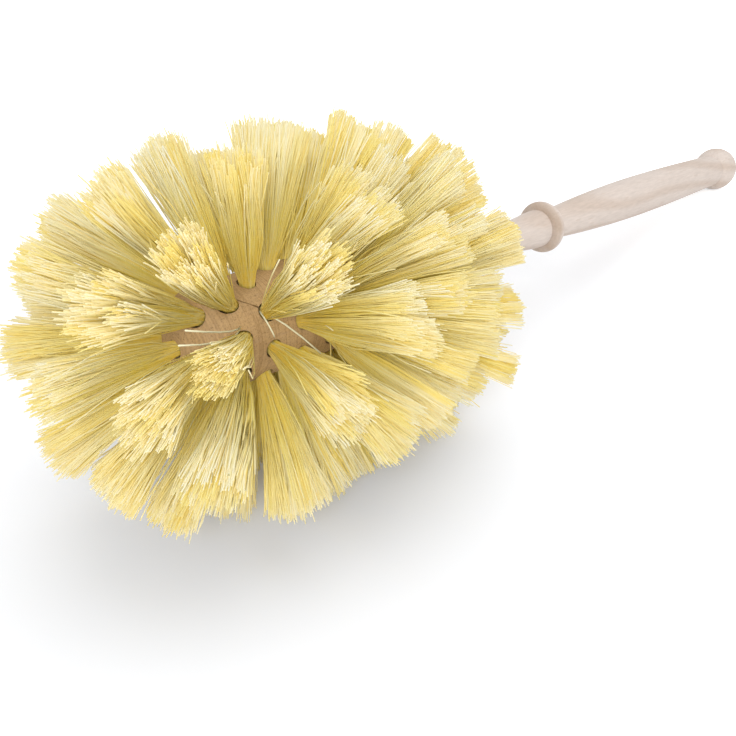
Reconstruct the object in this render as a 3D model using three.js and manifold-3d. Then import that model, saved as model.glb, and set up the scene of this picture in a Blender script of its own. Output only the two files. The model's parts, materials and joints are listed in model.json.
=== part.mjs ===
// A round toilet brush lying at rest: a turned beech body with a bored head, tufts of plant fibre
// set in the bores, and the flat-wire anchor that holds each tuft by its fold.
import * as THREE from "three";
import { mergeGeometries, mergeVertices } from "three/addons/utils/BufferGeometryUtils.js";
import Module from "manifold-3d";

const wasm = await Module();
wasm.setup();

// Driving dimensions, in millimetres and degrees. Stations run along the brush from the tip of the nose.
const headRadius = 15;
const noseLength = 12; // the rounded end of the head
const headEnd = 62; // station where the head starts to taper towards the neck
const taperLength = 40;
const neckRadius = 6;
const neckEnd = 150; // station where the neck starts to flare towards the collar
const flareRadius = 7.2;
const collarStation = 172;
const collarRadius = 9.9;
const collarWidth = 5.4;
const gripStartRadius = 5.3;
const gripMidStation = 250;
const gripMidRadius = 8.6;
const gripEndRadius = 7.4;
const knobStation = 329;
const knobRadius = 10.1;
const knobFlatRadius = 4; // flat left at the end of the knob by the lathe

const boreRadius = 2.5;
const boreDepth = 6.8;
const firstRing = 11.2; // station of the first full ring of bores
const ringPitch = 10.4; // from the first ring to the second
const pitchGrowth = 0.65; // added to the pitch from each ring to the next
const ringCount = 6;
const frontRings = 3; // rings with the closer spacing of bores
const frontBoreCount = 9;
const frontPhase = 29; // degrees from the top to the first bore of the first ring
const rearBoreCount = 8;
const rearPhase = 33.5;
const noseRing = 3.7; // station of the ring of bores on the nose
const noseBoreCount = 6;
const nosePhase = 22;
const aimStation = 25; // the front bores all aim at this point of the axis
const aimFollowRatio = 0.66; // how far the aim point follows the rings behind it

const tuftLength = 39; // free length of the fibre outside the wood
const tuftSpread = 8; // radius of a tuft at its flat-cut tip
const rootStand = 2; // height to which the bundle stays tight above the mouth of its bore
const strandTip = 0.9; // radius of a strand at its tip
const outerStrands = 5; // strands around the middle one of each tuft
const floorCut = 0.5; // depth of the flat that the lowest fibres are pressed to

const anchorThickness = 0.5;
const anchorHeight = 1.4;
const anchorBite = 0.5; // how far each end of the anchor goes into the wood
const foldHeight = 1.2; // fibre folded under the anchor
const backing = 1.6; // outer slice of the head that carries the fibres
const fit = 0.3; // clearance between touching pieces

const turnSides = 28;
const boreSides = 6;
const strandSides = 3;

// Turned outline of the body: radius at a station, inset by a given depth.
const smooth = (t) => t * t * (3 - 2 * t);
const taperEnd = headEnd + taperLength;

function headRadiusAt(station, inset = 0) {
  if (station < noseLength) {
    const along = (noseLength - station) / (noseLength - inset);
    return (headRadius - inset) * Math.sqrt(Math.max(0, 1 - along * along));
  }
  const down = THREE.MathUtils.clamp((station - headEnd) / taperLength, 0, 1);
  return THREE.MathUtils.lerp(headRadius, neckRadius, smooth(down)) - inset;
}

// Points of the head's outline from the nose to a last station, as (radius, station).
function headOutline(lastStation, inset = 0) {
  const noseSteps = 5;
  const taperSteps = 6;
  const points = [];
  for (let i = 0; i < noseSteps; i++) {
    const angle = (i / noseSteps) * (Math.PI / 2);
    const radius = (headRadius - inset) * Math.sin(angle);
    points.push(new THREE.Vector2(radius, noseLength - (noseLength - inset) * Math.cos(angle)));
  }
  points.push(new THREE.Vector2(headRadius - inset, noseLength));
  for (let i = 0; i <= taperSteps; i++) {
    const station = headEnd + (i / taperSteps) * taperLength;
    if (station < lastStation) points.push(new THREE.Vector2(headRadiusAt(station, inset), station));
  }
  if (lastStation < taperEnd) points.push(new THREE.Vector2(headRadiusAt(lastStation, inset), lastStation));
  return points;
}

// Points along a part of a round, used for the collar and the knob.
function roundPoints(centre, radius, from, to, steps) {
  return Array.from({ length: steps + 1 }, (_, i) => {
    const angle = THREE.MathUtils.lerp(from, to, i / steps);
    return new THREE.Vector2(centre.x + radius * Math.sin(angle), centre.y - radius * Math.cos(angle));
  });
}

// Boolean helpers: a closed geometry becomes a solid, and a solid becomes a geometry again.
function toSolid(geometry) {
  const plain = geometry.clone();
  plain.deleteAttribute("normal");
  plain.deleteAttribute("uv");
  const merged = mergeVertices(plain, 1e-5);
  const kept = [];
  for (let i = 0; i < merged.index.count; i += 3) {
    const [a, b, c] = [0, 1, 2].map((k) => merged.index.getX(i + k));
    if (a !== b && b !== c && c !== a) kept.push(a, b, c);
  }
  const vertProperties = Float32Array.from(merged.attributes.position.array);
  const triVerts = Uint32Array.from(kept);
  return new wasm.Manifold(new wasm.Mesh({ numProp: 3, vertProperties, triVerts }));
}

function toGeometry(solid) {
  const mesh = solid.getMesh();
  const geometry = new THREE.BufferGeometry();
  geometry.setAttribute("position", new THREE.BufferAttribute(Float32Array.from(mesh.vertProperties), 3));
  geometry.setIndex(new THREE.BufferAttribute(Uint32Array.from(mesh.triVerts), 1));
  geometry.computeVertexNormals();
  return geometry;
}

function turned(points) {
  return toSolid(new THREE.LatheGeometry(points, turnSides));
}

// Bore layout: where each tuft leaves the wood and the way it points.
function radialAt(degrees) {
  const angle = THREE.MathUtils.degToRad(degrees);
  return new THREE.Vector3(Math.sin(angle), 0, Math.cos(angle));
}

function tuftAt(name, station, degrees) {
  const axis = new THREE.Vector3(0, 1, 0);
  const radial = radialAt(degrees);
  const radius = headRadiusAt(station);
  const aim = aimStation + Math.max(0, station - aimStation) * aimFollowRatio;
  const direction = radial.clone().multiplyScalar(radius).addScaledVector(axis, station - aim).normalize();
  const root = radial.clone().multiplyScalar(radius).addScaledVector(axis, station);
  const across = new THREE.Vector3().crossVectors(direction, axis).normalize();
  if (across.lengthSq() === 0) across.set(1, 0, 0);
  const along = new THREE.Vector3().crossVectors(across, direction);
  const place = new THREE.Matrix4().makeBasis(across, direction, along).setPosition(root);
  return { name, place };
}

function ringOfTufts(name, station, count, phase) {
  return Array.from({ length: count }, (_, i) =>
    tuftAt(`${name}_${i + 1}`, station, phase + (360 * i) / count),
  );
}

const tufts = [tuftAt("apex", 0, 0), ...ringOfTufts("nose", noseRing, noseBoreCount, nosePhase)];
const ringStation = (ring) => firstRing + ring * ringPitch + (pitchGrowth * ring * (ring - 1)) / 2;
for (let ring = 0; ring < ringCount; ring++) {
  const [count, phase] = ring < frontRings ? [frontBoreCount, frontPhase] : [rearBoreCount, rearPhase];
  const stagger = ring % 2 ? -180 / count : 0;
  tufts.push(...ringOfTufts(`ring${ring + 1}`, ringStation(ring), count, phase + stagger));
}

// Shapes of one tuft in its own frame: the mouth of the bore at the origin, the fibre along +Y,
// the anchor lying across the bore along X.
const boreReach = 4; // how far a cutter stands out of the wood
const anchorBottom = -boreDepth + fit + foldHeight;
const anchorTop = anchorBottom + anchorHeight;
const anchorLength = 2 * (boreRadius + anchorBite);
const boreFlat = boreRadius * Math.cos(Math.PI / boreSides); // middle of a bore's side from its axis
const rootWidth = Math.SQRT2 * (boreFlat - fit); // square bundle whose corners clear the bore
const bundleRatio = 3.5; // width of the tight bundle over the thickness of one strand
const strandRoot = rootWidth / (2 * bundleRatio);
const rootMargin = 0.04; // bundle left outside its outermost strands
const rootSpread = rootWidth / 2 - strandRoot - rootMargin;

function block(x, z, bottom, top) {
  return new THREE.BoxGeometry(x, top - bottom, z).translate(0, (top + bottom) / 2, 0);
}

const boreCut = new THREE.CylinderGeometry(boreRadius, boreRadius, boreDepth + boreReach, boreSides);
boreCut.translate(0, (boreReach - boreDepth) / 2, 0);
const [slotThickness, slotLength] = [anchorThickness + 2 * fit, anchorLength + 2 * fit];
const grooveCut = block(slotLength, slotThickness, anchorBottom - fit, boreReach);
const seatCut = toSolid(boreCut).add(toSolid(grooveCut));
const foldWindow = block(slotLength, slotThickness, anchorBottom - fit, anchorTop + fit);
const bundle = block(rootWidth, rootWidth, -boreDepth + fit, rootStand);
const foldedRoot = toSolid(bundle).subtract(toSolid(foldWindow));
const anchorShape = block(anchorLength, anchorThickness, anchorBottom, anchorTop);

// One strand from inside the tight bundle to the flat-cut tip, leaning out along a given way.
function strand(way, turn) {
  const low = way.clone().multiplyScalar(rootSpread);
  const high = way.clone().multiplyScalar(tuftSpread);
  const corner = (height, i) => {
    const share = (height - rootStand) / (tuftLength - rootStand);
    const middle = low.clone().lerp(high, share);
    const radius = THREE.MathUtils.lerp(strandRoot, strandTip, share);
    const angle = turn + (2 * Math.PI * i) / strandSides;
    return [middle.x + radius * Math.sin(angle), height, middle.y + radius * Math.cos(angle)];
  };
  const [start, end] = [rootStand / 2, tuftLength];
  const positions = [];
  for (let i = 0; i < strandSides; i++) {
    positions.push(...corner(start, i), ...corner(start, i + 1), ...corner(end, i + 1));
    positions.push(...corner(start, i), ...corner(end, i + 1), ...corner(end, i));
  }
  for (let i = 1; i < strandSides - 1; i++) {
    positions.push(...corner(start, 0), ...corner(start, i + 1), ...corner(start, i));
    positions.push(...corner(end, 0), ...corner(end, i), ...corner(end, i + 1));
  }
  return new THREE.BufferGeometry().setAttribute("position", new THREE.Float32BufferAttribute(positions, 3));
}

function tuftStrands() {
  const fan = [strand(new THREE.Vector2(0, 0), 0)];
  for (let i = 0; i < outerStrands; i++) {
    const angle = (2 * Math.PI * (i + 0.5)) / outerStrands;
    fan.push(strand(new THREE.Vector2(Math.sin(angle), Math.cos(angle)), angle));
  }
  return mergeGeometries(fan);
}

const strands = tuftStrands();
const tuftShape = foldedRoot.add(toSolid(strands));
const placed = (solid, place) => solid.transform(place.toArray());
const together = (solids) => solids.reduce((sum, next) => sum.add(next));

// Wooden body, bored and grooved, with the outer slice of its head left to the fibres.
const backingEnd = ringStation(ringCount - 1) + boreRadius + 2 * backing;
const collar = new THREE.Vector2(collarRadius - collarWidth / 2, collarStation);
const knob = new THREE.Vector2(0, knobStation);
const flatAngle = Math.asin(knobFlatRadius / knobRadius);
const knobJoin = Math.asin(gripEndRadius / knobRadius);

function gripOutline() {
  const steps = 12;
  const swellPower = 0.75; // under 1, so that the grip fills out soon behind the collar
  const start = collarStation + collarWidth / 2;
  const end = knobStation - knobRadius * Math.cos(knobJoin);
  const { lerp } = THREE.MathUtils;
  const quarter = Math.PI / 2;
  return Array.from({ length: steps + 1 }, (_, i) => {
    const station = lerp(start, end, i / steps);
    const rise = Math.min(1, (station - start) / (gripMidStation - start));
    const fall = Math.max(0, (station - gripMidStation) / (end - gripMidStation));
    const swollen = lerp(gripStartRadius, gripMidRadius, Math.sin(rise * quarter) ** swellPower);
    return new THREE.Vector2(lerp(swollen, gripEndRadius, 1 - Math.cos(fall * quarter)), station);
  });
}

function bodyOutline() {
  const core = headOutline(backingEnd + fit, backing + fit);
  const shoulder = new THREE.Vector2(headRadiusAt(backingEnd + fit), backingEnd + fit);
  const rest = headOutline(taperEnd + fit).filter((point) => point.y > shoulder.y);
  const [neckSteps, beadSteps, ballSteps] = [5, 8, 12];
  const flareMiddle = (neckEnd + collarStation) / 2;
  const neck = new THREE.CubicBezierCurve(
    new THREE.Vector2(neckRadius, neckEnd),
    new THREE.Vector2(neckRadius, flareMiddle),
    new THREE.Vector2(flareRadius, collarStation - collarWidth),
    new THREE.Vector2(flareRadius, collarStation - collarWidth / 2),
  ).getPoints(neckSteps);
  const beadRadius = collarWidth / 2;
  const beadFoot = 0.15 * Math.PI; // the bead stands on the handle a little short of a half round
  const bead = roundPoints(collar, beadRadius, beadFoot, Math.PI - beadFoot, beadSteps);
  const ball = roundPoints(knob, knobRadius, knobJoin, Math.PI - flatAngle, ballSteps);
  const end = new THREE.Vector2(0, ball.at(-1).y);
  return [...core, shoulder, ...rest, ...neck, ...bead, ...gripOutline().slice(0, -1), ...ball, end];
}

const seats = together(tufts.map((tuft) => placed(seatCut, tuft.place)));
const body = turned(bodyOutline()).subtract(seats);

// Fibres: roots folded round the anchors and strands, all carried by the outer slice of the head.
function backingShell() {
  const outer = headOutline(backingEnd);
  const inner = headOutline(backingEnd, backing).reverse();
  return turned([...outer, ...inner]);
}

const fibres = backingShell().add(together(tufts.map((tuft) => placed(tuftShape, tuft.place))));
const strandMesh = mergeGeometries(tufts.map((tuft) => strands.clone().applyMatrix4(tuft.place)));

// The brush lies on its lowest fibres and on the knob: the tilt that brings both to the floor.
function lowestFibre(tilt) {
  const points = strandMesh.attributes.position;
  let lowest = Infinity;
  for (let i = 0; i < points.count; i++) {
    lowest = Math.min(lowest, points.getZ(i) * Math.cos(tilt) - points.getY(i) * Math.sin(tilt));
  }
  return lowest;
}

const lowestKnob = (tilt) => -knobStation * Math.sin(tilt) - knobRadius;
let restTilt = 0;
for (let step = Math.PI / 8; step > 1e-6; step /= 2) {
  if (lowestFibre(restTilt + step) + floorCut < lowestKnob(restTilt + step)) restTilt += step;
}
const floorHeight = lowestKnob(restTilt);

// Stand the pieces in the brush's own frame and cut the lowest fibres flat at the floor.
const lie = new THREE.Matrix4().makeBasis(
  new THREE.Vector3(0, -1, 0),
  new THREE.Vector3(Math.cos(restTilt), 0, -Math.sin(restTilt)),
  new THREE.Vector3(Math.sin(restTilt), 0, Math.cos(restTilt)),
);
const wide = 2 * (knobStation + tuftLength);
const floorBlock = toSolid(
  new THREE.BoxGeometry(wide, wide, tuftLength).translate(0, 0, floorHeight - tuftLength / 2),
);
const lyingFibres = placed(fibres, lie).subtract(floorBlock);

function piece(name, geometry, color, roughness, metalness = 0) {
  const mesh = new THREE.Mesh(geometry, new THREE.MeshStandardMaterial({ color, roughness, metalness }));
  mesh.name = name;
  return mesh;
}

const brush = new THREE.Group();
brush.name = "toilet_brush";
brush.add(piece("wooden_body", toGeometry(placed(body, lie)), 0xe0cdb8, 0.7));
brush.add(piece("bristles", toGeometry(lyingFibres), 0xe9d48a, 0.6));
for (const tuft of tufts) {
  const anchor = piece(`anchor_${tuft.name}`, anchorShape.clone(), 0xb9bcc0, 0.35, 1);
  anchor.applyMatrix4(new THREE.Matrix4().multiplyMatrices(lie, tuft.place));
  brush.add(anchor);
}

// Origin in the middle of the floor under the brush.
const box = new THREE.Box3().setFromObject(brush, true);
const middle = box.getCenter(new THREE.Vector3());
brush.position.set(-middle.x, -middle.y, -box.min.z);

export default brush;
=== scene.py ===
import json
import math

import bmesh
import bpy
import numpy as np
from mathutils import Matrix, Vector


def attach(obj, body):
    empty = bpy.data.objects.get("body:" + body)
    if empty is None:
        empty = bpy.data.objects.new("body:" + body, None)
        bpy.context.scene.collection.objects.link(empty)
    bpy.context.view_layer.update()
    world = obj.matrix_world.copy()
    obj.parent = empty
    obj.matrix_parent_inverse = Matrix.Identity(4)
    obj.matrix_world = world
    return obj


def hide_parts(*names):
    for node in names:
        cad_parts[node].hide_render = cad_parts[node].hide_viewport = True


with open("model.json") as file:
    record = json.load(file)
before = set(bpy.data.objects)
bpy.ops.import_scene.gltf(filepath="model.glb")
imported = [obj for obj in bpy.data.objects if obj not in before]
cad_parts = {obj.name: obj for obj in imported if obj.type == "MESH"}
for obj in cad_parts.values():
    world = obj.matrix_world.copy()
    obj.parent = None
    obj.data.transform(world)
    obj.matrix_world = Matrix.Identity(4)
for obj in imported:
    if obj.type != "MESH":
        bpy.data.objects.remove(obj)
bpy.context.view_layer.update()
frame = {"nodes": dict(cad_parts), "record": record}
mm = 0.001
print("frame loaded")

# Turned wood, in the brush's own frame: X to the side, Y along the axis from nose to knob, Z up
wood = {
    "headRadius": 15.0, "noseLength": 12.0, "headEnd": 62.0, "taperLength": 40.0,
    "neckRadius": 6.0, "neckGap": 4.0, "neckEnd": 150.0, "flareRadius": 7.2,
    "collarStation": 172.0, "collarRadius": 9.9, "collarWidth": 5.4, "beadArc": (0.14, 0.86),
    "grooveDepth": 0.5, "grooveReach": (0.5, 0.15),
    "gripStart": 5.3, "gripMid": 8.6, "gripEnd": 7.4, "gripMidStation": 250.0, "swellPower": 0.75,
    "gripStep": 0.1, "knobStep": 0.15, "knobTurn": 0.01,
    "knobStation": 329.0, "knobRadius": 10.1, "knobFlat": 4.0, "flatShare": 0.5,
    "noseSteps": 28, "headSteps": 30, "taperSteps": 24, "neckSteps": 10, "flareSteps": 12,
    "beadSteps": 16, "gripSteps": 40, "knobSteps": 30, "sides": 160, "sharpAngle": 0.6,
    "boreRadius": 2.65, "boreDepth": 6.6, "boreAbove": 5.0, "boreSides": 22,
}
knobEnd = wood["knobStation"] + math.sqrt(wood["knobRadius"] ** 2 - wood["knobFlat"] ** 2)
endMount = next(m for m in frame["record"]["mounts"] if m["name"] == "knob_end")
axisWay = Vector(endMount["axis"]).normalized()
sideWay = Vector((0, -1, 0))
upWay = sideWay.cross(axisWay)
nose = Vector(endMount["pos_m"]) - axisWay * knobEnd * mm
lie = Matrix((sideWay, axisWay, upWay)).transposed().to_4x4()
lie.translation = nose


def smooth(t):
    t = min(max(t, 0.0), 1.0)
    return t * t * (3 - 2 * t)


def mix(a, b, t):
    return a + (b - a) * t


# Tufts are read from the wire anchors, so holes and fibre follow the solid frame
anchor = {"prefix": "anchor_", "mouthAbove": 4.6, "aimStation": 25.0, "leastRadial": 2.0}


def tuftFromAnchor(name, node):
    points = np.array([v.co for v in node.data.vertices]) / mm
    points = np.unique(points.round(3), axis=0)
    centre = (points.min(axis=0) + points.max(axis=0)) / 2
    spread = points - centre
    ways = np.linalg.eigh(spread.T @ spread)[1].T  # shortest, middle and longest edge
    middle = Vector(centre) * mm
    aim = nose + axisWay * anchor["aimStation"] * mm
    out = Vector(ways[1]).normalized()
    radial = middle - nose - axisWay * (middle - nose).dot(axisWay)
    guide = radial if radial.length > anchor["leastRadial"] * mm else middle - aim
    if out.dot(guide) < 0:
        out = -out
    across = Vector(ways[2]).normalized()
    along = across.cross(out)
    root = middle + out * anchor["mouthAbove"] * mm
    station = (root - nose).dot(axisWay) / mm
    return {"name": name, "root": root, "out": out, "across": across, "along": along, "station": station}


tufts = []
for nodeName in sorted(frame["nodes"]):
    if nodeName.startswith(anchor["prefix"]):
        tufts.append(tuftFromAnchor(nodeName.removeprefix(anchor["prefix"]), frame["nodes"][nodeName]))
print("tufts found:", len(tufts))


def newMesh(name, points, faces):
    data = bpy.data.meshes.new(name)
    data.from_pydata(points, [], faces)
    data.update()
    made = bpy.data.objects.new(name, data)
    bpy.context.collection.objects.link(made)
    return made


def nodeTree(look):
    look.use_nodes = True
    tree = look.node_tree
    tree.nodes.clear()
    return tree


def add(tree, kind, **settings):
    made = tree.nodes.new(kind)
    for key, value in settings.items():
        if key in made.inputs:
            made.inputs[key].default_value = value
        else:
            setattr(made, key, value)
    return made


def join(tree, a, out, b, into):
    tree.links.new(a.outputs[out], b.inputs[into])


def feed(tree, socket, value):  # a number stays on the socket, anything else is linked to it
    if isinstance(value, (int, float)):
        socket.default_value = value
    else:
        tree.links.new(value, socket)


def reckon(tree, operation, *terms):
    made = add(tree, "ShaderNodeMath", operation=operation)
    for socket, term in zip(made.inputs, terms):
        feed(tree, socket, term)
    return made.outputs[0]


def remap(tree, value, fromMin, fromMax, toMin=0.0, toMax=1.0, ease="LINEAR"):
    made = add(tree, "ShaderNodeMapRange", interpolation_type=ease)
    limits = {"From Min": fromMin, "From Max": fromMax, "To Min": toMin, "To Max": toMax}
    for key, limit in limits.items():
        made.inputs[key].default_value = limit
    tree.links.new(value, made.inputs["Value"])
    return made.outputs[0]


def noise(tree, place, settings):
    made = add(tree, "ShaderNodeTexNoise", **settings)
    tree.links.new(place, made.inputs["Vector"])
    return made.outputs[0]


def mapped(tree, place, **settings):
    made = add(tree, "ShaderNodeMapping", **settings)
    tree.links.new(place, made.inputs["Vector"])
    return made.outputs[0]


def ramp(tree, value, places, colours):
    made = tree.nodes.new("ShaderNodeValToRGB")
    while len(made.color_ramp.elements) < len(places):
        made.color_ramp.elements.new(0.5)
    for stop, place, colour in zip(made.color_ramp.elements, places, colours):
        stop.position = place
        stop.color = (*colour, 1)
    tree.links.new(value, made.inputs[0])
    return made.outputs[0]


def mixColour(tree, share, a, b, blend="MIX"):
    made = add(tree, "ShaderNodeMix", data_type="RGBA", blend_type=blend)
    feed(tree, made.inputs[0], share)
    for socket, colour in ((made.inputs[6], a), (made.inputs[7], b)):
        if isinstance(colour, tuple):
            socket.default_value = (*colour, 1)
        else:
            tree.links.new(colour, socket)
    return made.outputs[2]


def mixShader(tree, share, a, b):
    made = tree.nodes.new("ShaderNodeMixShader")
    feed(tree, made.inputs[0], share)
    join(tree, a, 0, made, 1)
    join(tree, b, 0, made, 2)
    return made


# One lathe outline from nose to knob, then the tuft holes
def woodOutline():
    w = wood
    points = []
    for i in range(w["noseSteps"]):  # rounded nose
        a = i / w["noseSteps"] * math.pi / 2
        points.append((w["noseLength"] * (1 - math.cos(a)), w["headRadius"] * math.sin(a)))
    for station in np.linspace(w["noseLength"], w["headEnd"], w["headSteps"]):
        points.append((station, w["headRadius"]))
    for i in range(1, w["taperSteps"] + 1):  # taper to the neck
        t = i / w["taperSteps"]
        radius = mix(w["headRadius"], w["neckRadius"], smooth(t))
        points.append((w["headEnd"] + t * w["taperLength"], radius))
    neckStart = w["headEnd"] + w["taperLength"] + w["neckGap"]
    for station in np.linspace(neckStart, w["neckEnd"], w["neckSteps"]):
        points.append((station, w["neckRadius"]))
    half = w["collarWidth"] / 2
    foot = w["collarStation"] - half
    flareEnd, groove = (foot - reach for reach in w["grooveReach"])
    for i in range(1, w["flareSteps"] + 1):  # flare below the collar
        t = i / w["flareSteps"]
        radius = mix(w["neckRadius"], w["flareRadius"], smooth(t))
        points.append((mix(w["neckEnd"], flareEnd, t), radius))
    points.append((groove, w["flareRadius"] - w["grooveDepth"]))  # fine groove in front of the bead
    for i in range(w["beadSteps"] + 1):
        a = math.pi * mix(*w["beadArc"], i / w["beadSteps"])
        radius = w["collarRadius"] - half + half * math.sin(a)
        points.append((w["collarStation"] - half * math.cos(a), radius))
    start = w["collarStation"] + half
    knobJoin = math.asin(w["gripEnd"] / w["knobRadius"])
    end = w["knobStation"] - w["knobRadius"] * math.cos(knobJoin)
    points.append((start + w["gripStep"], w["gripStart"] - w["gripStep"]))
    for i in range(1, w["gripSteps"]):  # swelling grip
        station = mix(start, end, i / w["gripSteps"])
        if station < w["gripMidStation"]:
            t = (station - start) / (w["gripMidStation"] - start)
            radius = mix(w["gripStart"], w["gripMid"], math.sin(t * math.pi / 2) ** w["swellPower"])
        else:
            t = (station - w["gripMidStation"]) / (end - w["gripMidStation"])
            radius = mix(w["gripMid"], w["gripEnd"], 1 - math.cos(t * math.pi / 2))
        points.append((station, radius))
    points.append((end - w["gripStep"], w["gripEnd"] - w["knobStep"]))
    flat = math.asin(w["knobFlat"] / w["knobRadius"])
    for i in range(w["knobSteps"] + 1):
        a = mix(knobJoin + w["knobTurn"], math.pi - flat, i / w["knobSteps"])
        points.append((w["knobStation"] - w["knobRadius"] * math.cos(a), w["knobRadius"] * math.sin(a)))
    points.append((knobEnd, w["knobFlat"] * w["flatShare"]))
    return points


def latheMesh(name, outline, sides):
    points = [(0, outline[0][0] * mm, 0)]
    faces = []
    for station, radius in outline[1:]:
        for k in range(sides):
            a = 2 * math.pi * k / sides
            points.append((radius * mm * math.sin(a), station * mm, radius * mm * math.cos(a)))
    rings = len(outline) - 1
    points.append((0, outline[-1][0] * mm, 0))
    last = len(points) - 1
    for k in range(sides):
        n = (k + 1) % sides
        faces.append((0, 1 + k, 1 + n))
        faces.append((last, 1 + (rings - 1) * sides + n, 1 + (rings - 1) * sides + k))
        for r in range(rings - 1):
            a, b = 1 + r * sides, 1 + (r + 1) * sides
            faces.append((a + k, b + k, b + n, a + n))
    return newMesh(name, points, faces)


def boreCutter():
    points, faces = [], []
    back = lie.inverted()
    sides = wood["boreSides"]
    for tuft in tufts:
        base = len(points)
        for height in (-wood["boreDepth"], wood["boreAbove"]):
            for k in range(sides):
                a = 2 * math.pi * k / sides
                reach = tuft["across"] * math.cos(a) + tuft["along"] * math.sin(a)
                offset = tuft["out"] * height + reach * wood["boreRadius"]
                points.append(back @ (tuft["root"] + offset * mm))
        for k in range(sides):
            n = (k + 1) % sides
            faces.append((base + k, base + n, base + sides + n, base + sides + k))
        faces.append(tuple(base + k for k in reversed(range(sides))))
        faces.append(tuple(base + sides + k for k in range(sides)))
    return newMesh("boreCutter", points, faces)


def setOutward(thing):
    made = bmesh.new()
    made.from_mesh(thing.data)
    bmesh.ops.recalc_face_normals(made, faces=made.faces)
    made.to_mesh(thing.data)
    made.free()


turnedWood = latheMesh("turnedWood", woodOutline(), wood["sides"])
setOutward(turnedWood)
cutter = boreCutter()
setOutward(cutter)
cut = turnedWood.modifiers.new("bores", "BOOLEAN")
cut.operation = "DIFFERENCE"
cut.solver = "EXACT"
cut.object = cutter
bored = bpy.data.meshes.new_from_object(turnedWood.evaluated_get(bpy.context.evaluated_depsgraph_get()))
turnedWood.modifiers.clear()
turnedWood.data = bored
bpy.data.objects.remove(cutter)
for polygon in bored.polygons:
    polygon.use_smooth = True
bored.set_sharp_from_angle(angle=wood["sharpAngle"])
turnedWood.matrix_world = lie
print("wood turned and bored, faces:", len(bored.polygons))

# Beech: pale handle with slanting growth rings; the head's darker brown is painted shade and yellow bounce
# light from the tufts, over the open pores and tool rings of the rough-turned head
beech = {
    "pale": (0.605, 0.531, 0.482), "warm": (0.49, 0.39, 0.32), "head": (0.495, 0.298, 0.102),
    "fleck": (0.40, 0.27, 0.18), "pore": (0.20, 0.105, 0.035), "roughness": 0.62, "gloss": 0.35,
    "headFrom": 50.0, "headTo": 120.0, "headShare": 0.85,
    "grainStretch": (1, 0.12, 1), "grainTurn": (0.05, 0.0, 0.035),
    "broad": {"Scale": 190.0, "Detail": 4.0, "Roughness": 0.55, "Distortion": 0.8}, "broadShare": 0.42,
    "fine": {"Scale": 1500.0, "Detail": 3.0, "Roughness": 0.6}, "shadeRange": (0.3, 0.7, 0.92, 1.06),
    "ringPitch": 8.5, "waveLength": 0.314, "heart": (0.034, 0.0, 0.021), "tilt": (0.06, 0.0, 0.15),
    "rings": {"Distortion": 4.5, "Detail": 1.5, "Detail Scale": 0.4}, "ringRange": (0.45, 1.0, 0.0, 0.5),
    "fleckStretch": (1, 0.16, 1), "fleckScale": 620.0, "fleckRange": (0.12, 0.26, 0.2, 0.0),
    "pores": {"Scale": 2100.0, "Detail": 3.0, "Roughness": 0.65}, "poreRange": (0.52, 0.74, 0.0, 0.9),
    "turnStretch": (40, 2600, 40), "turning": {"Scale": 1.0, "Detail": 2.0},
    "turnRange": (0.48, 0.72, 0.0, 0.5),
    "crackFrom": (6.5, 14.1, 13.5), "crackTo": (10.2, 19.9, 11.0), "crackDark": (0.10, 0.05, 0.015),
    "crackWide": 0.17, "crackFade": 2.2, "crackShare": 0.9,
    "wobble": {"Scale": 700.0, "Detail": 2.0}, "wobbleMiddle": 0.45, "wobbleReach": 0.4,
    "beadEdge": 170.1, "beadReach": (0.5, 2.1), "beadShadeShare": 0.5, "beadShadeTint": (0.36, 0.255, 0.175),
    "bumpFine": 0.6, "bump": {"Strength": 0.18, "Distance": 0.0002},
}


def vectorStep(tree, operation, a, b):
    made = add(tree, "ShaderNodeVectorMath", operation=operation)
    for socket, value in zip(made.inputs, (a, b)):
        if isinstance(value, Vector):
            socket.default_value = value
        else:
            tree.links.new(value, socket)
    return made


def woodCrack(tree, place):  # fine drying crack between two holes of the head
    b = beech
    start, end = Vector(b["crackFrom"]) * mm, Vector(b["crackTo"]) * mm
    run = end - start
    away = vectorStep(tree, "SUBTRACT", place, start).outputs[0]
    share = vectorStep(tree, "DOT_PRODUCT", away, run / run.length_squared)
    held = add(tree, "ShaderNodeClamp")
    join(tree, share, "Value", held, 0)
    near = add(tree, "ShaderNodeVectorMath", operation="SCALE")
    near.inputs[0].default_value = run
    join(tree, held, 0, near, "Scale")
    off = vectorStep(tree, "DISTANCE", away, near.outputs[0])
    wobble = reckon(tree, "SUBTRACT", noise(tree, place, b["wobble"]), b["wobbleMiddle"])
    waver = reckon(tree, "MULTIPLY", wobble, b["wobbleReach"] * mm)
    bent = reckon(tree, "ADD", off.outputs["Value"], waver)
    wide = b["crackWide"] * mm
    return remap(tree, bent, wide, wide * b["crackFade"], b["crackShare"], 0.0)


def newLook(name, **settings):
    material = bpy.data.materials.new(name)
    tree = nodeTree(material)
    shader = add(tree, "ShaderNodeBsdfPrincipled", **settings)
    out = add(tree, "ShaderNodeOutputMaterial")
    place = add(tree, "ShaderNodeTexCoord").outputs["Object"]
    return material, tree, shader, out, place


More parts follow.
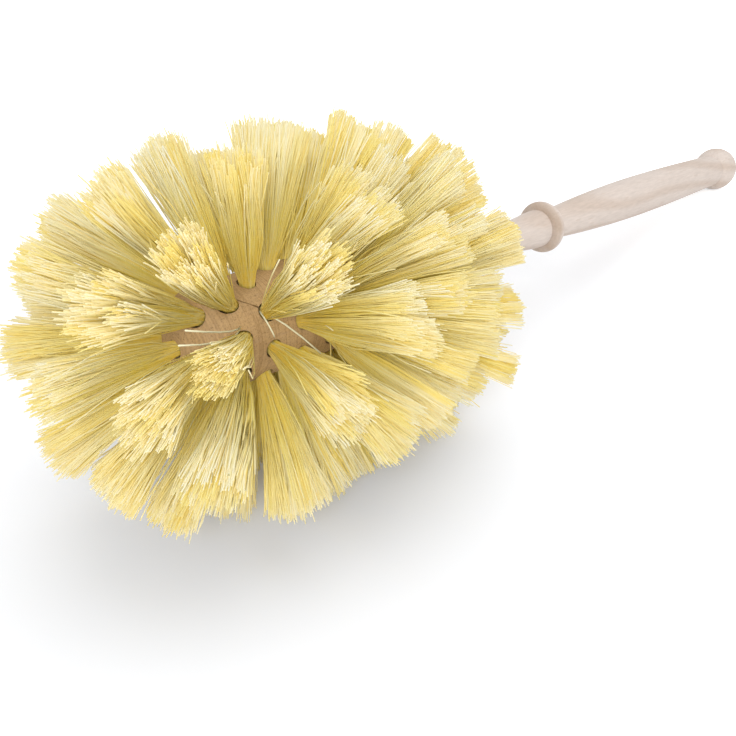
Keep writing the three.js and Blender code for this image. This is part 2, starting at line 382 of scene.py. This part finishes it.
def woodMaterial():
    b = beech
    material, tree, shader, out, place = newLook("turnedBeech", Roughness=b["roughness"])
    shader.inputs["Specular IOR Level"].default_value = b["gloss"]
    join(tree, shader, 0, out, 0)
    split = add(tree, "ShaderNodeSeparateXYZ")
    tree.links.new(place, split.inputs[0])
    station = split.outputs["Y"]
    grain = mapped(tree, place, Scale=b["grainStretch"], Rotation=b["grainTurn"])  # runs along the handle
    broad = noise(tree, grain, b["broad"])
    fine = noise(tree, grain, b["fine"])
    pores = noise(tree, place, b["pores"])
    turning = noise(tree, mapped(tree, place, Scale=b["turnStretch"]), b["turning"])
    rings = add(tree, "ShaderNodeTexWave", wave_type="RINGS", rings_direction="Y", **b["rings"])
    rings.inputs["Scale"].default_value = b["waveLength"] / (b["ringPitch"] * mm)
    tree.links.new(mapped(tree, place, Location=b["heart"], Rotation=b["tilt"]), rings.inputs["Vector"])
    fleck = add(tree, "ShaderNodeTexVoronoi", Scale=b["fleckScale"])
    tree.links.new(mapped(tree, place, Scale=b["fleckStretch"]), fleck.inputs["Vector"])
    ringLine = remap(tree, rings.outputs[1], *b["ringRange"])  # growth rings of the log cut at a slant
    grainShare = reckon(tree, "ADD", reckon(tree, "MULTIPLY", broad, b["broadShare"]), ringLine)
    base = mixColour(tree, grainShare, b["pale"], b["warm"])
    toHead = remap(tree, station, b["headTo"] * mm, b["headFrom"] * mm, ease="SMOOTHSTEP")
    # painted shade: the head is tinted darker and browner towards the nose, for the shade and yellow bounce
    # light of the tufts
    base = mixColour(tree, reckon(tree, "MULTIPLY", toHead, b["headShare"]), base, b["head"])
    base = mixColour(tree, remap(tree, fleck.outputs["Distance"], *b["fleckRange"]), base, b["fleck"])
    poreShare = reckon(tree, "MULTIPLY", remap(tree, pores, *b["poreRange"]), toHead)
    base = mixColour(tree, poreShare, base, b["pore"])  # open pores of the rough-turned head
    base = mixColour(tree, woodCrack(tree, place), base, b["crackDark"])
    turnShare = reckon(tree, "MULTIPLY", remap(tree, turning, *b["turnRange"]), toHead)
    base = mixColour(tree, turnShare, base, b["pore"])  # faint tool rings
    beadOff = reckon(tree, "ABSOLUTE", reckon(tree, "SUBTRACT", station, b["beadEdge"] * mm))
    beadNear, beadFar = (reach * mm for reach in b["beadReach"])
    beadShadeShare = remap(tree, beadOff, beadNear, beadFar, b["beadShadeShare"], 0.0, "SMOOTHSTEP")
    base = mixColour(tree, beadShadeShare, base, b["beadShadeTint"])  # painted shade on the front of the bead, in the corner where it meets the neck
    base = mixColour(tree, 1.0, base, remap(tree, fine, *b["shadeRange"]), "MULTIPLY")
    tree.links.new(base, shader.inputs["Base Color"])
    height = reckon(tree, "ADD", reckon(tree, "MULTIPLY", fine, b["bumpFine"]), turning)
    bump = add(tree, "ShaderNodeBump", **b["bump"])
    tree.links.new(height, bump.inputs["Height"])
    join(tree, bump, 0, shader, "Normal")
    return material


bored.materials.clear()
bored.materials.append(woodMaterial())
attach(turnedWood, "root")
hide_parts("wooden_body")
print("wood material set")

# Fibre tufts: many fine fibres to a hole, straight at the root and fanned to a flat-cut tip
fibre = {
    "seed": 7, "perTuft": 400, "rearMore": 130, "quickPart": 3, "rearFrom": 20.0, "rearRun": 35.0,
    "length": 39.5, "knots": (-3.0, 0.0, 8.0, 18.0, 29.0, 39.5), "sides": 4, "crossLimit": 0.7,
    "thickRoot": 0.195, "thickTip": 0.165, "girth": (0.8, 0.4), "rootRadius": 2.15, "press": 0.3,
    "spread": 7.8, "rearSpread": 14.2, "spreadVary": (0.92, 1.1), "flare": 0.25,
    "clumps": 26, "clumpTight": 0.34, "parts": 3, "partTurn": 0.25, "part": (0.30, 0.50), "partTight": 0.35,
    "bow": 0.5, "lockBow": 0.5, "flick": 0.65, "lockFlick": 0.7, "sway": 1.0,
    "uneven": 0.35, "frontUneven": 1.1, "lockUneven": 0.4, "dome": (2.6, 1.6), "cutSlope": 0.12,
    "wildShare": 0.05, "wildBow": 2.6, "wildFlick": 2.0, "wildShort": 5.0,
    "strayShare": 0.035, "strayFan": 2.0, "strayLength": (0.35, 0.8), "floorLift": (0.25, 0.2),
    "leans": {"ring1_2": (-1.6, -1.5, -0.2), "ring6_2": (0.0, -5.5, 2.0)},
    "narrow": {"ring1_2": 0.85, "ring6_2": 0.6}, "short": {"ring1_2": 3.0},
    "mapName": "OFBake", "mapBins": (16, 8, 16), "mapEdge": (0.2, 0.05), "mapRim": 0.03,
}

# Loose fibres that stray over the wood, each given by three points of the brush's own frame
looseFibres = {
    "thick": 1.15, "along": 0.8, "tone": 1.0, "lock": 1.0, "bunch": 0.0,
    "paths": [
        ((10.6, 19.6, 10.2), (15.2, 18.7, 8.6), (16.7, 19.9, 5.1)),
        ((11.4, 20.2, 9.6), (18.0, 25.2, 6.1), (19.1, 46.3, -14.5)),
        ((12.0, 12.2, 8.4), (19.5, 1.0, 13.5), (25.4, -15.3, 21.3)),
        ((12.2, 11.8, 8.0), (20.0, 0.0, 11.5), (25.8, -17.4, 18.3)),
    ],
}


def brushWay(local):  # side, along the axis and up, turned to the frame
    return sideWay * local[0] + axisWay * local[1] + upWay * local[2]


def inDisc(rng, count):
    radius = np.sqrt(rng.random(count))
    angle = rng.random(count) * 2 * math.pi
    return np.stack([radius * np.cos(angle), radius * np.sin(angle)], axis=1)


def tuftFibres(tuft, rng):
    f = fibre
    name = tuft["name"]
    rear = smooth((tuft["station"] - f["rearFrom"]) / f["rearRun"])
    count = int(f["perTuft"] + f["rearMore"] * rear)
    disc = inDisc(rng, count)
    centres = inDisc(rng, f["clumps"])
    clump = np.argmin(((disc[:, None] - centres[None]) ** 2).sum(axis=2), axis=1)
    fanned = mix(disc, centres[clump], f["clumpTight"])  # neighbours that lie together in a lock
    turns = (np.arange(f["parts"]) + rng.random()) * 2 * math.pi / f["parts"]
    turns = turns + rng.normal(0, f["partTurn"], f["parts"])
    ways = np.stack([np.cos(turns), np.sin(turns)])
    part = np.argmax(disc @ ways, axis=1)  # a full bundle parts in a few broad locks
    away = (ways * rng.uniform(*f["part"], f["parts"])).T[part]
    fanned = fanned * (1 - f["partTight"] * rear) + away * rear
    spread = mix(f["spread"], f["rearSpread"], rear) * rng.uniform(*f["spreadVary"])
    spread *= f["narrow"].get(name, 1.0)
    wild = rng.random(count) < f["wildShare"]
    stray = rng.random(count) < f["strayShare"] * rear  # short fibres that cross between the tufts
    fanned = np.where(stray[:, None], fanned * f["strayFan"], fanned)
    bow = rng.normal(0, f["bow"], (count, 2)) * np.where(wild, f["wildBow"], 1.0)[:, None]
    bow += rng.normal(0, f["lockBow"], (f["clumps"], 2))[clump]
    flick = rng.normal(0, f["flick"], (count, 2)) * np.where(wild, f["wildFlick"], 1.0)[:, None]
    flick += rng.normal(0, f["lockFlick"], (f["clumps"], 2))[clump]
    sway = rng.normal(0, f["sway"], 2)
    lean = brushWay(f["leans"].get(name, (0, 0, 0)))
    sway += (lean.dot(tuft["across"]), lean.dot(tuft["along"]))
    cutSlope = rng.normal(0, f["cutSlope"], 2)
    uneven = mix(f["frontUneven"], f["uneven"], rear)
    length = f["length"] + rng.normal(0, uneven, count) + disc @ cutSlope * spread
    length -= mix(*f["dome"], rear) * (disc ** 2).sum(axis=1)  # cut to the round of the ball
    length += rng.normal(0, f["lockUneven"], f["clumps"])[clump] - f["short"].get(name, 0.0)
    length -= np.abs(np.where(wild, rng.normal(0, f["wildShort"], count), 0))
    length = np.where(stray, f["length"] * rng.uniform(*f["strayLength"], count), length)
    across, along, out = (np.array(tuft[k]) for k in ("across", "along", "out"))
    root = np.array(tuft["root"]) / mm + f["press"] * along  # the bundle leans on one side of its hole
    rows = []
    for knot in f["knots"]:
        t = max(knot, 0.0) / f["length"]
        opening = t ** (1 - f["flare"] * rear)
        side = mix(disc * f["rootRadius"], fanned * spread, opening)
        side = side + bow * 4 * t * (1 - t) + (flick + sway) * t ** 2
        height = np.full(count, knot) if knot <= 0 else length * t
        rows.append(root + side[:, :1] * across + side[:, 1:] * along + height[:, None] * out)
    path = np.stack(rows, axis=1)
    least, more = f["floorLift"]
    path[:, :, 2] = np.maximum(path[:, :, 2], least + more * rng.random((count, 1)))  # bent flat on the floor
    return path, rng.random(f["clumps"])[clump]


def binOf(values, bins):
    return np.minimum((values * bins).astype(int), bins - 1)


def strawMap(data, along, tones, locks, bunches):  # fibres of like colour share a strip, from root to tip
    f = fibre
    toneBins, bunchBins, lockBins = f["mapBins"]
    sideEdge, endEdge = f["mapEdge"]
    strip = binOf(tones, toneBins) + toneBins * binOf(bunches, bunchBins)
    shelf = binOf(locks, lockBins)
    count, knots = along.shape
    climb = (along - along.min()) / np.ptp(along)
    level = np.ptp(along, axis=1) == 0  # loose fibres have one colour, and get a narrow band of it
    climb = climb + f["mapRim"] * level[:, None] * np.linspace(0, 1, knots)
    low, high = climb[:, :-1], climb[:, 1:]
    sides = np.repeat(np.stack([low, low, high, high], axis=2)[:, :, None], f["sides"], axis=2)
    rim = f["mapRim"] * np.array([0, 0, 1, 1])
    corners = sideEdge + (1 - 2 * sideEdge) * np.array([0, 1, 1, 0])
    spots = []
    for up in (sides.reshape(count, -1, 4), (climb[:, :1] + rim)[:, None], (climb[:, -1:] - rim)[:, None]):
        across = strip[:, None, None] + np.broadcast_to(corners, up.shape)
        up = shelf[:, None, None] + endEdge + (1 - 2 * endEdge) * up
        spots.append(np.stack([across / (toneBins * bunchBins), up / lockBins], axis=3).reshape(-1, 2))
    spots = np.concatenate(spots).astype(np.float32)
    data.uv_layers.new(name=f["mapName"]).uv.foreach_set("vector", spots.ravel())


def fibreMesh(paths, tones, locks, bunches):
    f = fibre
    count, knots = paths.shape[:2]
    sides = f["sides"]
    way = np.gradient(paths, axis=1)
    way /= np.linalg.norm(way, axis=2, keepdims=True)
    helper = np.where(np.abs(way[:, :, :1]) < f["crossLimit"], np.array([1.0, 0, 0]), np.array([0, 1.0, 0]))
    u = np.cross(way, helper)
    u /= np.linalg.norm(u, axis=2, keepdims=True)
    v = np.cross(way, u)
    t = np.linspace(0, 1, knots)
    loose = np.arange(count) >= count - len(looseFibres["paths"])
    leastGirth, moreGirth = f["girth"]
    girth = (leastGirth + moreGirth * tones) * np.where(loose, looseFibres["thick"], 1.0)
    thick = mix(f["thickRoot"], f["thickTip"], t)[None, :, None] * girth[:, None, None]
    ring = []
    for k in range(sides):
        a = 2 * math.pi * k / sides
        ring.append(paths + thick * (u * math.cos(a) + v * math.sin(a)))
    points = np.stack(ring, axis=2).reshape(-1, 3) * mm
    first = np.arange(count) * knots * sides
    low = first[:, None, None] + (np.arange(knots - 1) * sides)[None, :, None]
    k = np.arange(sides)[None, None, :]
    n = (k + 1) % sides
    quads = np.stack([low + k, low + n, low + sides + n, low + sides + k], axis=3).reshape(-1, 4)
    roots = first[:, None] + np.arange(sides)[None, ::-1]
    tips = first[:, None] + (knots - 1) * sides + np.arange(sides)[None, :]
    faces = np.concatenate([quads, roots, tips])
    data = bpy.data.meshes.new("fibreTufts")
    data.vertices.add(len(points))
    data.vertices.foreach_set("co", points.ravel())
    data.loops.add(faces.size)
    data.loops.foreach_set("vertex_index", faces.ravel().astype(np.int32))
    data.polygons.add(len(faces))
    data.polygons.foreach_set("loop_start", np.arange(0, faces.size, 4, dtype=np.int32))
    data.update(calc_edges=True)
    smoothFlags = np.ones(len(faces), dtype=bool)
    smoothFlags[len(quads):] = False
    data.polygons.foreach_set("use_smooth", smoothFlags)
    free = np.array(f["knots"]) / f["length"]
    along = np.where(loose[:, None], looseFibres["along"], free[None, :])  # loose fibres are pale all along
    values = {
        "along": np.repeat(along.ravel(), sides),
        "tone": np.repeat(tones, knots * sides),
        "lock": np.repeat(locks, knots * sides),
        "bunch": np.repeat(bunches, knots * sides),
    }
    for name, value in values.items():
        data.attributes.new(name, "FLOAT", "POINT").data.foreach_set("value", value.astype(np.float32))
    strawMap(data, along, tones, locks, bunches)
    made = bpy.data.objects.new("fibreTufts", data)
    bpy.context.collection.objects.link(made)
    return made


rng = np.random.default_rng(fibre["seed"])
allPaths, allTones, allLocks, allBunches = [], [], [], []
for tuft in tufts:
    path, lock = tuftFibres(tuft, rng)
    allPaths.append(path)
    allTones.append(rng.random(len(path)))
    allLocks.append(lock)
    allBunches.append(np.full(len(path), rng.random()))
for start, middle, end in looseFibres["paths"]:
    a, m, b = (np.array(nose / mm + brushWay(p)) for p in (start, middle, end))
    bend = 2 * m - (a + b) / 2
    steps = np.linspace(0, 1, len(fibre["knots"]))[:, None]
    allPaths.append(((1 - steps) ** 2 * a + 2 * steps * (1 - steps) * bend + steps ** 2 * b)[None])
    allTones.append(np.array([looseFibres["tone"]]))
    allLocks.append(np.array([looseFibres["lock"]]))
    allBunches.append(np.array([looseFibres["bunch"]]))
fibreTufts = fibreMesh(*(np.concatenate(each) for each in (allPaths, allTones, allLocks, allBunches)))
print("fibres drawn:", sum(len(p) for p in allPaths))

# Straw yellow: golden at the root, paler cream to the cut tip, with locks and single fibres of other tones;
# the deeper gold at the root is partly painted warm shade of the inner tuft, and the upper and tip colours
# are held darker against the light that falls strongest on the tips
straw = {
    "root": (0.99, 0.72, 0.11), "shaft": (0.99, 0.80, 0.19), "upper": (0.945, 0.86, 0.51),
    "tip": (0.79, 0.735, 0.54), "alongStops": (0.0, 0.35, 0.75, 0.98),
    "greenTint": (0.92, 0.81, 0.16), "deepTint": (0.97, 0.67, 0.09), "midTint": (0.985, 0.84, 0.32),
    "paleTint": (0.94, 0.89, 0.555), "toneStops": (0.07, 0.16, 0.45, 1.0), "toneShare": 0.34,
    "lockGold": (0.97, 0.90, 0.53), "lockPlain": (1.0, 1.0, 1.0), "lockPale": (1.0, 1.04, 1.20),
    "lockStops": (0.05, 0.5, 0.95), "golden": (0.98, 0.72, 0.13), "bunchShare": 0.22,
    "streak": {"Scale": 900.0, "Detail": 2.0}, "mottleRange": (0.35, 0.7, 0.0, 0.15),
    "roughness": 0.6, "gloss": 0.05, "through": 0.12, "lightPass": 0.97, "passTint": (1.0, 0.945, 0.72),
}


def fibreMaterial():
    s = straw
    material, tree, shader, out, place = newLook("plantFibre", Roughness=s["roughness"])
    shader.inputs["Specular IOR Level"].default_value = s["gloss"]
    glow = add(tree, "ShaderNodeBsdfTranslucent")
    body = mixShader(tree, s["through"], shader, glow)
    clear = add(tree, "ShaderNodeBsdfTransparent", Color=(*s["passTint"], 1))  # light passes the thin fibre
    ray = add(tree, "ShaderNodeLightPath")
    lit = reckon(tree, "MAXIMUM", ray.outputs["Is Shadow Ray"], ray.outputs["Is Diffuse Ray"])
    passed = mixShader(tree, reckon(tree, "MULTIPLY", lit, s["lightPass"]), body, clear)
    join(tree, passed, 0, out, 0)
    along, tone, lock, bunch = (
        add(tree, "ShaderNodeAttribute", attribute_name=name).outputs["Fac"]
        for name in ("along", "tone", "lock", "bunch")
    )
    # painted light and shade along the fibre: warmer gold at the shaded root, upper part and tips held darker
    # where the light falls on them
    length = ramp(tree, along, s["alongStops"], (s["root"], s["shaft"], s["upper"], s["tip"]))
    tint = ramp(tree, tone, s["toneStops"], (s["greenTint"], s["deepTint"], s["midTint"], s["paleTint"]))
    lockTint = ramp(tree, lock, s["lockStops"], (s["lockGold"], s["lockPlain"], s["lockPale"]))
    colour = mixColour(tree, s["toneShare"], length, tint)
    colour = mixColour(tree, 1.0, colour, lockTint, "MULTIPLY")
    colour = mixColour(tree, reckon(tree, "MULTIPLY", bunch, s["bunchShare"]), colour, s["golden"])
    mottle = remap(tree, noise(tree, place, s["streak"]), *s["mottleRange"])
    colour = mixColour(tree, mottle, colour, s["paleTint"])
    tree.links.new(colour, shader.inputs["Base Color"])
    tree.links.new(colour, glow.inputs["Color"])
    return material


fibreTufts.data.materials.append(fibreMaterial())
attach(fibreTufts, "root")
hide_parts("bristles")
print("fibre material set")

# Wire anchors keep their solids
wire = {
    "zinc": (0.56, 0.57, 0.58), "dull": (0.40, 0.41, 0.42), "spangle": {"Scale": 1400.0, "Detail": 3.0},
    "roughFrom": 0.30, "roughMore": 0.25,
}


def wireMaterial():
    material, tree, shader, out, place = newLook("galvanisedWire", Metallic=1.0)
    join(tree, shader, 0, out, 0)
    spangle = noise(tree, place, wire["spangle"])
    tree.links.new(mixColour(tree, spangle, wire["zinc"], wire["dull"]), shader.inputs["Base Color"])
    rough = reckon(tree, "MULTIPLY_ADD", spangle, wire["roughMore"], wire["roughFrom"])
    tree.links.new(rough, shader.inputs["Roughness"])
    return material


wireLook = wireMaterial()
for nodeName, node in frame["nodes"].items():
    if nodeName.startswith(anchor["prefix"]):
        node.data.materials.clear()
        node.data.materials.append(wireLook)
print("anchors dressed")


def aimed(place, aim):
    return (Vector(aim) - Vector(place)).to_track_quat("-Z", "Y").to_euler()


# Camera where the photograph was taken from
view = {
    "place": (-0.2515, -0.17112, 0.19503), "way": (0.58263, 0.56308, -0.58607),
    "lens": 44.02, "sensor": 36.0, "near": 0.01,
}
camera = bpy.data.objects.new("photoCamera", bpy.data.cameras.new("photoCamera"))
bpy.context.collection.objects.link(camera)
camera.data.lens = view["lens"]
camera.data.sensor_width = view["sensor"]
camera.data.clip_start = view["near"]
camera.location = view["place"]
camera.rotation_euler = aimed((0, 0, 0), view["way"])
bpy.context.scene.camera = camera

# White floor, one large soft light above and behind the ball, and a softer one from the front
studio = {
    "floor": (0.92, 0.92, 0.92), "seenShare": (0.855, 0.866, 0.887), "white": (1.0, 1.0, 1.0),
    "middle": (-0.15, -0.05, 0.0), "half": 3.0, "world": 0.70, "seenWorld": 1.0,
    "seenLift": 0.035, "farLift": 0.9, "farFrom": 0.19, "farTo": 0.45,
    "keyPlace": (0.29, 0.0, 1.1), "keyAim": (-0.10, 0.0, 0.05), "keySize": 1.45, "keyPower": 6.0,
    "fillPlace": (-0.80, -0.70, 0.75), "fillSize": 0.6, "fillPower": 8.8,
}


def seenRays(tree):  # rays that show the background: straight, mirrored or through glass
    ray = add(tree, "ShaderNodeLightPath")
    mirrored = reckon(tree, "MAXIMUM", ray.outputs["Is Glossy Ray"], ray.outputs["Is Transmission Ray"])
    return reckon(tree, "MAXIMUM", ray.outputs["Is Camera Ray"], mirrored)


def floorMaterial():
    s = studio
    material = bpy.data.materials.new("paleFloor")
    tree = nodeTree(material)
    out = add(tree, "ShaderNodeOutputMaterial")
    plain = add(tree, "ShaderNodeBsdfDiffuse", Color=(*s["floor"], 1))
    # the floor as the camera sees it is a second, darker and cooler copy with a glow: painted deeper, neutral
    # shadow near the ball, and painted light further out
    seen = add(tree, "ShaderNodeBsdfDiffuse", Color=(*s["seenShare"], 1))
    lift = add(tree, "ShaderNodeEmission", Color=(*s["white"], 1))
    reach = add(tree, "ShaderNodeVectorMath", operation="LENGTH")
    join(tree, add(tree, "ShaderNodeTexCoord"), "Object", reach, 0)
    limits = (s["farFrom"], s["farTo"], s["seenLift"], s["farLift"])
    fade = remap(tree, reach.outputs["Value"], *limits, "SMOOTHSTEP")  # painted light: the seen floor glows more away from the brush, turns white there and washes out faint shadows
    tree.links.new(fade, lift.inputs["Strength"])
    sweep = add(tree, "ShaderNodeAddShader")
    join(tree, seen, 0, sweep, 0)
    join(tree, lift, 0, sweep, 1)
    join(tree, mixShader(tree, seenRays(tree), plain, sweep), 0, out, 0)
    return material


half = studio["half"]
floorCorners = [(-half, -half, 0), (half, -half, 0), (half, half, 0), (-half, half, 0)]
floor = newMesh("floor", floorCorners, [(0, 1, 2, 3)])
floor.data.materials.append(floorMaterial())
floor.location = studio["middle"]

world = bpy.data.worlds.new("studio")
bpy.context.scene.world = world
tree = nodeTree(world)
worldOut = add(tree, "ShaderNodeOutputWorld")
sky = add(tree, "ShaderNodeBackground", Color=(*studio["white"], 1), Strength=studio["world"])
seenSky = add(tree, "ShaderNodeBackground", Color=(*studio["white"], 1), Strength=studio["seenWorld"])
join(tree, mixShader(tree, seenRays(tree), sky, seenSky), 0, worldOut, 0)


def softLight(name, place, aim, size, power):
    data = bpy.data.lights.new(name, "AREA")
    data.shape = "DISK"
    data.size = size
    data.energy = power
    made = bpy.data.objects.new(name, data)
    bpy.context.collection.objects.link(made)
    made.location = place
    made.rotation_euler = aimed(place, aim)


softLight("softKey", studio["keyPlace"], studio["keyAim"], studio["keySize"], studio["keyPower"])
softLight("softFill", studio["fillPlace"], studio["keyAim"], studio["fillSize"], studio["fillPower"])
bpy.context.scene.view_settings.view_transform = "Standard"
print("stage set")
